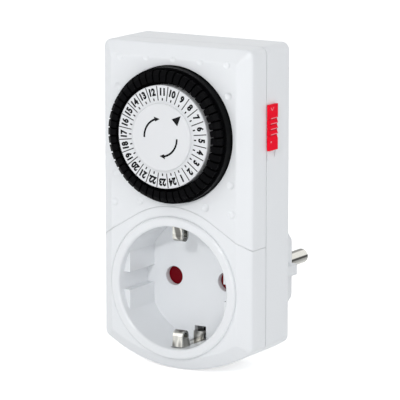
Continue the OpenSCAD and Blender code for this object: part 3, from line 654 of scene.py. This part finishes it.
def face_place(x, z, y, turn=0.0):
    """Matrix from a drawing in its own XY plane to a face that looks along -Y.

    The turn is clockwise as seen from the front.
    """
    stand_up = Matrix.Rotation(math.radians(90), 4, "X")
    spin = Matrix.Rotation(turn, 4, "Y")
    return Matrix.Translation((x, y, z)) @ spin @ stand_up


def clock_point(radius, clockwise):
    """A point at a clockwise angle from the top, around the dial's centre."""
    return (
        DIAL_CENTRE.x + radius * math.sin(clockwise),
        DIAL_CENTRE.z + radius * math.cos(clockwise),
    )


def flat_outline(bm, points):
    """One face from a list of points in the drawing plane."""
    return bm.faces.new([bm.verts.new((x, y, 0.0)) for x, y in points])


def thicken(bm, faces, depth):
    """Push the faces' copies out along the drawing's +Z, so the print has a thickness."""
    grown = bmesh.ops.extrude_face_region(bm, geom=faces)
    moved = [v for v in grown["geom"] if isinstance(v, bmesh.types.BMVert)]
    bmesh.ops.translate(bm, verts=moved, vec=(0.0, 0.0, depth))


def flat_ring(bm, centre, inner, outer, y_front, y_back):
    """A ring with a rectangular section that faces along -Y."""
    profile = bmesh.ops.create_grid(bm, x_segments=1, y_segments=1, size=0.5)["verts"]
    bmesh.ops.rotate(bm, verts=profile, cent=(0.0, 0.0, 0.0), matrix=Matrix.Rotation(
        math.radians(90), 3, "Y"))
    bmesh.ops.scale(bm, verts=profile, vec=(1.0, y_back - y_front, outer - inner))
    bmesh.ops.translate(bm, verts=profile, vec=Vector(centre) + Vector(
        (0.0, (y_front + y_back) / 2 - centre[1], (outer + inner) / 2)))
    edges = list({e for v in profile for e in v.link_edges})
    faces = list({f for v in profile for f in v.link_faces})
    bmesh.ops.delete(bm, geom=faces, context="FACES_ONLY")
    bmesh.ops.spin(bm, geom=profile + edges, cent=centre, axis=(0.0, 1.0, 0.0),
                   dvec=(0.0, 0.0, 0.0), angle=2 * math.pi, steps=144, use_merge=True)


def cord_mesh(points, radius):
    """A thin round bead along a line of points."""
    curve = bpy.data.curves.new("bead", "CURVE")
    curve.dimensions = "3D"
    curve.bevel_depth = radius
    curve.bevel_resolution = 2
    curve.use_fill_caps = True
    line = curve.splines.new("POLY")
    line.points.add(len(points) - 1)
    for spot, point in zip(line.points, points):
        spot.co = (*point, 1.0)
    carrier = bpy.data.objects.new("bead", curve)
    bpy.context.collection.objects.link(carrier)
    graph = bpy.context.evaluated_depsgraph_get()
    mesh = bpy.data.meshes.new_from_object(carrier.evaluated_get(graph))
    bpy.data.objects.remove(carrier)
    bpy.data.curves.remove(curve)
    return mesh


def bar(bm, place, size, turn=0.0, round_by=0.0):
    """A block at a place, turned about X, with its edges rounded."""
    made = bmesh.ops.create_cube(bm, size=1.0)["verts"]
    bmesh.ops.scale(bm, verts=made, vec=size)
    bmesh.ops.rotate(bm, verts=made, cent=(0.0, 0.0, 0.0), matrix=Matrix.Rotation(turn, 3, "X"))
    bmesh.ops.translate(bm, verts=made, vec=place)
    if round_by:
        edges = list({e for v in made for e in v.link_edges})
        bmesh.ops.bevel(bm, geom=made + edges, offset=round_by, segments=2, profile=0.5,
                        affect="EDGES", clamp_overlap=True)


def letters_mesh(text, height, thickness):
    """Bold digits as a solid mesh, centred on the origin and of a set cap height."""
    curve = bpy.data.curves.new("digits", "FONT")
    curve.body = text
    curve.align_x = "CENTER"
    curve.align_y = "CENTER"
    curve.size = 1.0
    curve.offset = DIGIT_BOLDNESS
    curve.bevel_depth = DIGIT_BEVEL
    curve.bevel_resolution = 0
    curve.resolution_u = 6
    carrier = bpy.data.objects.new("digits", curve)
    bpy.context.collection.objects.link(carrier)
    graph = bpy.context.evaluated_depsgraph_get()
    mesh = bpy.data.meshes.new_from_object(carrier.evaluated_get(graph))
    bpy.data.objects.remove(carrier)
    bpy.data.curves.remove(curve)
    xs = [v.co.x for v in mesh.vertices]
    ys = [v.co.y for v in mesh.vertices]
    scale = height / (max(ys) - min(ys))
    middle = Vector(((max(xs) + min(xs)) / 2, (max(ys) + min(ys)) / 2, 0.0))
    flatten = thickness / (2 * DIGIT_BEVEL)
    resize = Matrix.Diagonal((scale * DIGIT_NARROWING, scale, flatten, 1.0))
    mesh.transform(resize @ Matrix.Translation(-middle))
    return mesh


# ---------------------------------------------------------------------------
# Operators: finishes
# ---------------------------------------------------------------------------


class TIMER_OT_finish_case(bpy.types.Operator):
    """Give the housing, the socket and the inner carriers their mouldings"""

    bl_idname = "timer.finish_case"
    bl_label = "Finish Case"

    def execute(self, context):
        settings = context.scene.timer_finish
        white = moulded_material(
            "White Moulding", settings.case_colour, 0.36, settings.grain,
            grain_scale=5200.0, mottle=0.03, edge=0.00035)
        gloss = moulded_material(
            "White Gloss Moulding", settings.case_colour, 0.2, settings.grain * 0.3,
            grain_scale=2500.0, mottle=0.03, edge=0.0003)
        give(white, "rear_housing", "plug_body", "front_cover", "socket_cover", "switch_lever")
        give(gloss, "socket_insert")
        grey = moulded_material(
            "Grey Moulding", GREY_COLOUR, 0.5, settings.grain, mottle=0.05)
        give(grey, "contact_carrier", "gear_plate")
        return {"FINISHED"}


class TIMER_OT_finish_dial(bpy.types.Operator):
    """Give the dial, its tappets and its face their finishes"""

    bl_idname = "timer.finish_dial"
    bl_label = "Finish Dial"

    def execute(self, context):
        settings = context.scene.timer_finish
        black = moulded_material(
            "Black Moulding", settings.dial_colour, 0.34, settings.grain * 1.2,
            grain_scale=6500.0, mottle=0.15, edge=0.00012, specular=0.025)
        face = moulded_material(
            "Dial Face", settings.face_colour, 0.32, settings.grain * 0.4,
            grain_scale=3800.0, mottle=0.02, edge=0.0002)
        give(black, "dial_carrier", "tappet_set", "tappet_1", "tappet_2", "tappet_3", "tappet_4")
        give(face, "number_ring", "pointer_disc")
        return {"FINISHED"}


class TIMER_OT_finish_controls(bpy.types.Operator):
    """Give the slide button, the shutter, the gears and the leads their finishes"""

    bl_idname = "timer.finish_controls"
    bl_label = "Finish Controls"

    def execute(self, context):
        settings = context.scene.timer_finish
        give(
            moulded_material("Red Moulding", settings.slider_colour, 0.3, settings.grain * 0.6,
                             mottle=0.05, edge=0.0003, specular=0.012),
            "override_slider")
        give(
            moulded_material("Shutter Moulding", settings.shutter_colour, 0.38,
                             settings.grain * 0.6, mottle=0.08, specular=0.08),
            "safety_shutter")
        give(
            moulded_material("Gear Moulding", GEAR_COLOUR, 0.45, settings.grain * 0.5,
                             mottle=0.08, edge=0.00005),
            "reduction_gear_1", "reduction_gear_2")
        give(
            moulded_material("Red Lead", RED_LEAD_COLOUR, 0.5, settings.grain, mottle=0.08),
            "lead_live")
        give(
            moulded_material("Blue Lead", BLUE_LEAD_COLOUR, 0.5, settings.grain, mottle=0.08),
            "lead_neutral")
        return {"FINISHED"}


class TIMER_OT_finish_metal(bpy.types.Operator):
    """Give the pins, contacts, screws and springs their metals"""

    bl_idname = "timer.finish_metal"
    bl_label = "Finish Metal"

    def execute(self, context):
        settings = context.scene.timer_finish
        pins = metal_material("Nickel Pin Plate", settings.nickel_colour, 0.16,
                              streak_height=0.000002, bands=pin_bands)
        give(pins, "plug_pin_live", "plug_pin_neutral")
        strips = metal_material("Nickel Strip Plate", settings.nickel_colour, 0.18,
                                streak_height=0.000002, bands=strip_bands)
        give(strips, "earth_strap_upper", "earth_strap_lower", "earth_link")
        give(metal_material("Zinc Plate", ZINC_COLOUR, 0.3), "motor_can")
        brass = metal_material("Rolled Brass", BRASS_COLOUR, 0.28)
        give(brass, "neutral_contact", "live_contact", "live_bus", "moving_contact",
             "motor_pinion")
        steel = metal_material("Drawn Steel", STEEL_COLOUR, 0.30)
        give(steel, "shutter_spring", "dial_axle", "gear_axles", "lever_pin", "lever_spring",
             "housing_screws", "motor_screws")
        return {"FINISHED"}


# ---------------------------------------------------------------------------
# Operators: printing and marks
# ---------------------------------------------------------------------------


def ink_material(colour):
    return moulded_material("Printing Ink", colour, 0.45, 0.000004, grain_scale=3000.0,
                            mottle=0.12, edge=0.00001, specular=0.12)


def shared_ink(context):
    colour = context.scene.timer_print.ink_colour
    return bpy.data.materials.get("Printing Ink") or ink_material(colour)


class TIMER_OT_print_hours(bpy.types.Operator):
    """Print the hour numbers around the ring"""

    bl_idname = "timer.print_hours"
    bl_label = "Print Hour Numbers"

    def execute(self, context):
        settings = context.scene.timer_print
        bm = bmesh.new()
        step = 2 * math.pi / settings.hours
        for place in range(settings.hours):
            number = (settings.top_hour - place - 1) % settings.hours + 1
            mesh = letters_mesh(str(number), settings.digit_height, 2 * settings.ink_height)
            turn = place * step
            x, z = clock_point(settings.digit_radius, turn)
            mesh.transform(face_place(x, z, RING_FACE_Y, turn))
            bm.from_mesh(mesh)
            bpy.data.meshes.remove(mesh)
        finish_piece("hour_numbers", bm, shared_ink(context), "dial")
        return {"FINISHED"}


class TIMER_OT_print_ticks(bpy.types.Operator):
    """Print the long and short ticks around the ring"""

    bl_idname = "timer.print_ticks"
    bl_label = "Print Ticks"

    long_inner: FloatProperty(
        name="Long tick, inner end", description="Distance of its inner end from the centre",
        subtype="DISTANCE", unit="LENGTH", default=11.2 * MM)
    long_outer: FloatProperty(
        name="Long tick, outer end", description="Distance of its outer end from the centre",
        subtype="DISTANCE", unit="LENGTH", default=15.7 * MM)
    short_outer: FloatProperty(
        name="Short tick, outer end", description="Distance of its outer end from the centre",
        subtype="DISTANCE", unit="LENGTH", default=12.0 * MM)
    width: FloatProperty(
        name="Width", description="Width of a long tick",
        subtype="DISTANCE", unit="LENGTH", default=0.28 * MM)
    short_width: FloatProperty(
        name="Short tick width", description="Width of a short tick",
        subtype="DISTANCE", unit="LENGTH", default=0.4 * MM)

    def execute(self, context):
        settings = context.scene.timer_print
        bm = bmesh.new()
        step = 2 * math.pi / settings.hours
        inner = self.long_inner
        for outer, start, width in ((self.long_outer, step / 2, self.width),
                                    (self.short_outer, 0.0, self.short_width)):
            tick = bmesh.ops.create_cube(bm, size=1.0)["verts"]
            bmesh.ops.scale(
                bm, verts=tick, vec=(width, settings.ink_height, outer - inner))
            bmesh.ops.translate(
                bm, verts=tick,
                vec=(0.0, RING_FACE_Y - settings.ink_height / 2,
                     DIAL_CENTRE.z + (outer + inner) / 2))
            bmesh.ops.rotate(
                bm, verts=tick, cent=DIAL_CENTRE, matrix=Matrix.Rotation(start, 3, "Y"))
            geometry = tick + list({e for v in tick for e in v.link_edges}) + list(
                {f for v in tick for f in v.link_faces})
            bmesh.ops.spin(
                bm, geom=geometry, cent=DIAL_CENTRE, axis=(0.0, 1.0, 0.0),
                dvec=(0.0, 0.0, 0.0), angle=step * (settings.hours - 1),
                steps=settings.hours - 1, use_duplicate=True)
        finish_piece("hour_ticks", bm, shared_ink(context), "dial")
        return {"FINISHED"}


class TIMER_OT_print_pointer(bpy.types.Operator):
    """Print the two turning arrows and the time triangle on the middle disc"""

    bl_idname = "timer.print_pointer"
    bl_label = "Print Arrows and Pointer"

    arrow_radius: FloatProperty(
        name="Arrow radius", description="Radius of the two curved arrows",
        subtype="DISTANCE", unit="LENGTH", default=5.8 * MM)
    stroke: FloatProperty(
        name="Stroke", description="Width of the arrows' line",
        subtype="DISTANCE", unit="LENGTH", default=0.6 * MM)

    def curved_arrow(self, bm, start, end):
        """A clockwise arc with a pointed head, drawn as one outline."""
        radius, half = self.arrow_radius, self.stroke / 2
        neck = end - ARROW_HEAD
        angles = [start + (neck - start) * i / ARROW_STEPS for i in range(ARROW_STEPS + 1)]
        outer = [(radius + half, angle) for angle in angles]
        inner = [(radius - half, angle) for angle in reversed(angles)]
        point = [(radius + half + ARROW_BARB_OUT, neck), (radius - ARROW_TIP_IN, end),
                 (radius - half - ARROW_BARB_IN, neck)]
        outline = [(r * math.sin(a), r * math.cos(a)) for r, a in outer + point + inner]
        return flat_outline(bm, outline)

    def execute(self, context):
        settings = context.scene.timer_print
        bm = bmesh.new()
        faces = [self.curved_arrow(bm, math.radians(start), math.radians(end))
                 for start, end in ARROW_SPANS]
        along = Vector((math.sin(POINTER_TURN), math.cos(POINTER_TURN)))
        across = Vector((along.y, -along.x))
        base = along * POINTER_BASE
        corners = [along * POINTER_TIP, base + across * POINTER_HALF, base - across * POINTER_HALF]
        faces.append(flat_outline(bm, [(c.x, c.y) for c in corners]))
        bmesh.ops.triangulate(bm, faces=faces, quad_method="BEAUTY", ngon_method="EAR_CLIP")
        thicken(bm, list(bm.faces), settings.ink_height)
        bmesh.ops.transform(
            bm, matrix=face_place(DIAL_CENTRE.x, DIAL_CENTRE.z, DISC_FACE_Y), verts=bm.verts)
        finish_piece("pointer_marks", bm, shared_ink(context), "housing")
        return {"FINISHED"}


class TIMER_OT_fill_seams(bpy.types.Operator):
    """Close the seams around the socket and around the middle disc"""

    bl_idname = "timer.fill_seams"
    bl_label = "Fill Seams"

    depth: FloatProperty(
        name="Depth", description="How far the fill lies below the skin",
        subtype="DISTANCE", unit="LENGTH", default=0.12 * MM)

    def cover_seam(self):
        """Middle line of the seam between the two front covers, from the left to the right."""
        touch_x = SEAM_ARC_R * math.sin(SEAM_SLOPE)
        touch_z = SEAM_ARC_R * math.cos(SEAM_SLOPE)
        front = COVER_LOW.y + self.depth
        side = CASE_HALF_WIDTH - self.depth
        right = []
        for i in range(SEAM_STEPS + 1):
            angle = SEAM_SLOPE * i / SEAM_STEPS
            right.append((SEAM_ARC_R * math.sin(angle), front, SEAM_ARC_R * math.cos(angle)))
        for x, y in ((CASE_HALF_WIDTH - BEVEL_INSET, front), (side, front + BEVEL_DROP),
                     (side, COVER_HIGH.y - SEAM_END_GAP)):
            right.append((x, y, touch_z - (x - touch_x) * math.tan(SEAM_SLOPE)))
        return [(-x, y, z) for x, y, z in reversed(right[1:])] + right

    def execute(self, context):
        bm = bmesh.new()
        mesh = cord_mesh(self.cover_seam(), SEAM_BEAD_R)
        bm.from_mesh(mesh)
        bpy.data.meshes.remove(mesh)
        front = COVER_LOW.y + self.depth
        flat_ring(bm, (0.0, 0.0, 0.0), COLLAR_GAP_INNER, COLLAR_GAP_OUTER,
                  front, front + COLLAR_FILL_HEIGHT)
        white = bpy.data.materials["White Moulding"]
        finish_piece("seam_fill", bm, white, "housing")
        bm = bmesh.new()
        flat_ring(bm, DIAL_CENTRE, DISC_R - SKIRT_OVERLAP, DISC_R + SKIRT_RIM,
                  RING_FACE_Y - SKIRT_FRONT, RING_FACE_Y - SKIRT_BACK)
        finish_piece("disc_skirt", bm, bpy.data.materials["Dial Face"], "housing")
        return {"FINISHED"}


class TIMER_OT_mark_slider(bpy.types.Operator):
    """Put a painted highlight on each ridge tip, painted shade in the groove below it, and the two
    small raised marks, also in the highlight pink, on the slide button
    """

    bl_idname = "timer.mark_slider"
    bl_label = "Mark Slide Button"

    ridges: IntProperty(
        name="Ridges", description="How many ridges the button has", default=4, min=1)
    pitch: FloatProperty(
        name="Pitch", description="Distance between two ridges",
        subtype="DISTANCE", unit="LENGTH", default=1.66 * MM)
    first: FloatProperty(
        name="First ridge", description="Height of the lowest ridge above the button's foot",
        subtype="DISTANCE", unit="LENGTH", default=4.8 * MM)

    def execute(self, context):
        out = SLIDER_HIGH.x
        middle = BUTTON_LOW_Y + RIDGE_MIDDLE
        painted_highlights = bmesh.new()
        shade = bmesh.new()
        for i in range(self.ridges):
            tip = SLIDER_LOW.z + self.first + self.pitch * i
            bar(painted_highlights, (out - RIDGE_SINK, middle, tip + RIDGE_RISE), RIDGE_SIZE,
                round_by=RIDGE_ROUNDING)
            bar(shade, (out - GROOVE_SINK, middle, tip - GROOVE_DROP), GROOVE_SIZE)
        top = SLIDER_HIGH.z - CHEVRON_FROM_TOP
        for side in (-1, 1):
            y = BUTTON_LOW_Y + (CHEVRON_MIDDLE_MM + side * CHEVRON_HALF_MM) * MM
            bar(painted_highlights, (out, y, top), CHEVRON_SIZE, turn=CHEVRON_TURN * -side,
                round_by=MARK_ROUNDING)
        bar(painted_highlights, (out, BUTTON_LOW_Y + DOT_FROM_EDGE, SLIDER_LOW.z + DOT_FROM_FOOT), DOT_SIZE,
            round_by=MARK_ROUNDING)
        # Painted highlight: pale glossy pink on the ridge-tip bars, the V and the dot. Painted
        # shade: dark red bars in the grooves.
        highlight_paint = moulded_material("Red Ridge Moulding", RIDGE_HIGHLIGHT_COLOUR, 0.18, 0.0, edge=0.00005)
        dark = moulded_material("Red Groove Moulding", GROOVE_SHADE_COLOUR, 0.4, 0.0,
                                edge=0.00005, specular=0.05)
        finish_piece("slider_ridges", painted_highlights, highlight_paint, "slider")
        finish_piece("slider_grooves", shade, dark, "slider")
        return {"FINISHED"}


# ---------------------------------------------------------------------------
# Operators: stage
# ---------------------------------------------------------------------------


def seen_directly(tree):
    """1 where the camera, a mirror or a clear surface looks at the background, else 0."""
    path = tree.nodes.new("ShaderNodeLightPath").outputs
    seen = math_node(tree, "MAXIMUM", path["Is Camera Ray"], path["Is Glossy Ray"])
    return math_node(tree, "MAXIMUM", seen, path["Is Transmission Ray"])


class TIMER_OT_build_stage(bpy.types.Operator):
    """Set up the pale floor, the soft lights and the camera"""

    bl_idname = "timer.build_stage"
    bl_label = "Build Stage"

    def area_light(self, name, place, size, power):
        data = bpy.data.lights.new(name, "AREA")
        data.shape = "RECTANGLE"
        data.size, data.size_y = size
        data.energy = power
        lamp = bpy.data.objects.new(name, data)
        lamp.location = place
        aim = Vector(LAMP_AIM) - Vector(place)
        lamp.rotation_euler = aim.to_track_quat("-Z", "Y").to_euler()
        bpy.context.collection.objects.link(lamp)

    def floor(self, settings):
        bm = bmesh.new()
        bmesh.ops.create_grid(bm, x_segments=1, y_segments=1, size=FLOOR_SIZE)
        bmesh.ops.translate(bm, verts=bm.verts, vec=(0.0, 0.0, START_BOX[0].z - FLOOR_GAP))
        mesh = bpy.data.meshes.new("floor")
        bm.to_mesh(mesh)
        bm.free()
        piece = bpy.data.objects.new("floor", mesh)
        bpy.context.collection.objects.link(piece)
        material, tree, shader = new_material("Studio Floor")
        shader.inputs["Base Color"].default_value = FLOOR_GREY
        shader.inputs["Roughness"].default_value = 0.9
        shader.inputs["Specular IOR Level"].default_value = 0.1
        shader.inputs["Emission Color"].default_value = WHITE
        glow = math_node(tree, "MULTIPLY", seen_directly(tree), settings.floor_glow)
        link(tree, glow, shader.inputs["Emission Strength"])
        mesh.materials.append(material)

    def world(self, settings):
        """White where it is seen. As light it grows from the camera's side to the back wall."""
        world = bpy.data.worlds.new("Studio")
        bpy.context.scene.world = world
        world.use_nodes = True
        tree = world.node_tree
        background = tree.nodes["Background"]
        direction = tree.nodes.new("ShaderNodeSeparateXYZ")
        link(tree, tree.nodes.new("ShaderNodeTexCoord").outputs["Generated"], direction.inputs[0])
        depth = math_node(tree, "MULTIPLY_ADD", direction.outputs["Y"], 0.5, 0.5)
        level = math_node(tree, "MULTIPLY_ADD", depth, settings.back_level, settings.room_level)
        seen = seen_directly(tree)
        link(tree, math_node(tree, "MAXIMUM", seen, level), background.inputs["Strength"])
        link(tree, mix_colours(tree, seen, COOL_WHITE, WHITE), background.inputs["Color"])

    def camera(self, settings):
        azimuth, elevation = settings.camera_azimuth, settings.camera_elevation
        away = Vector((math.sin(azimuth) * math.cos(elevation),
                       -math.cos(azimuth) * math.cos(elevation), math.sin(elevation)))
        data = bpy.data.cameras.new("Camera")
        data.lens = settings.lens
        data.sensor_width = SENSOR_WIDTH
        data.clip_end = CAMERA_REACH
        camera = bpy.data.objects.new("Camera", data)
        camera.location = CAMERA_TARGET + away * settings.camera_distance
        camera.rotation_euler = (-away).to_track_quat("-Z", "Y").to_euler()
        bpy.context.collection.objects.link(camera)
        bpy.context.scene.camera = camera

    def execute(self, context):
        settings = context.scene.timer_stage
        self.floor(settings)
        self.world(settings)
        for name, place, size, power in LAMPS:
            self.area_light(name, place, size, getattr(settings, power))
        self.camera(settings)
        context.scene.view_settings.view_transform = "Standard"
        return {"FINISHED"}


# ---------------------------------------------------------------------------
# Panel and registration
# ---------------------------------------------------------------------------


class TIMER_PT_sidebar(bpy.types.Panel):
    """Settings and steps of the timer switch"""

    bl_idname = "TIMER_PT_sidebar"
    bl_label = "Timer Switch"
    bl_space_type = "VIEW_3D"
    bl_region_type = "UI"
    bl_category = "Timer"

    def draw(self, context):
        layout = self.layout
        scene = context.scene
        for settings in (scene.timer_finish, scene.timer_print, scene.timer_stage):
            box = layout.box()
            for name in settings.__annotations__:
                box.prop(settings, name)
        for step in OPERATORS:
            layout.operator(step.bl_idname)


SETTINGS = (TimerFinishSettings, TimerPrintSettings, TimerStageSettings)
OPERATORS = (
    TIMER_OT_finish_case,
    TIMER_OT_finish_dial,
    TIMER_OT_finish_controls,
    TIMER_OT_finish_metal,
    TIMER_OT_print_hours,
    TIMER_OT_print_ticks,
    TIMER_OT_print_pointer,
    TIMER_OT_fill_seams,
    TIMER_OT_mark_slider,
    TIMER_OT_build_stage,
)


def register():
    for item in SETTINGS + OPERATORS + (TIMER_PT_sidebar,):
        bpy.utils.register_class(item)
    bpy.types.Scene.timer_finish = PointerProperty(type=TimerFinishSettings)
    bpy.types.Scene.timer_print = PointerProperty(type=TimerPrintSettings)
    bpy.types.Scene.timer_stage = PointerProperty(type=TimerStageSettings)


def unregister():
    del bpy.types.Scene.timer_stage
    del bpy.types.Scene.timer_print
    del bpy.types.Scene.timer_finish
    for item in reversed(SETTINGS + OPERATORS + (TIMER_PT_sidebar,)):
        bpy.utils.unregister_class(item)


def main():
    register()
    bpy.ops.timer.finish_case()
    bpy.ops.timer.finish_dial()
    bpy.ops.timer.finish_controls()
    bpy.ops.timer.finish_metal()
    bpy.ops.timer.print_hours()
    bpy.ops.timer.print_ticks()
    bpy.ops.timer.print_pointer()
    bpy.ops.timer.fill_seams()
    bpy.ops.timer.mark_slider()
    bpy.ops.timer.build_stage()


if __name__ == "__main__":
    main()
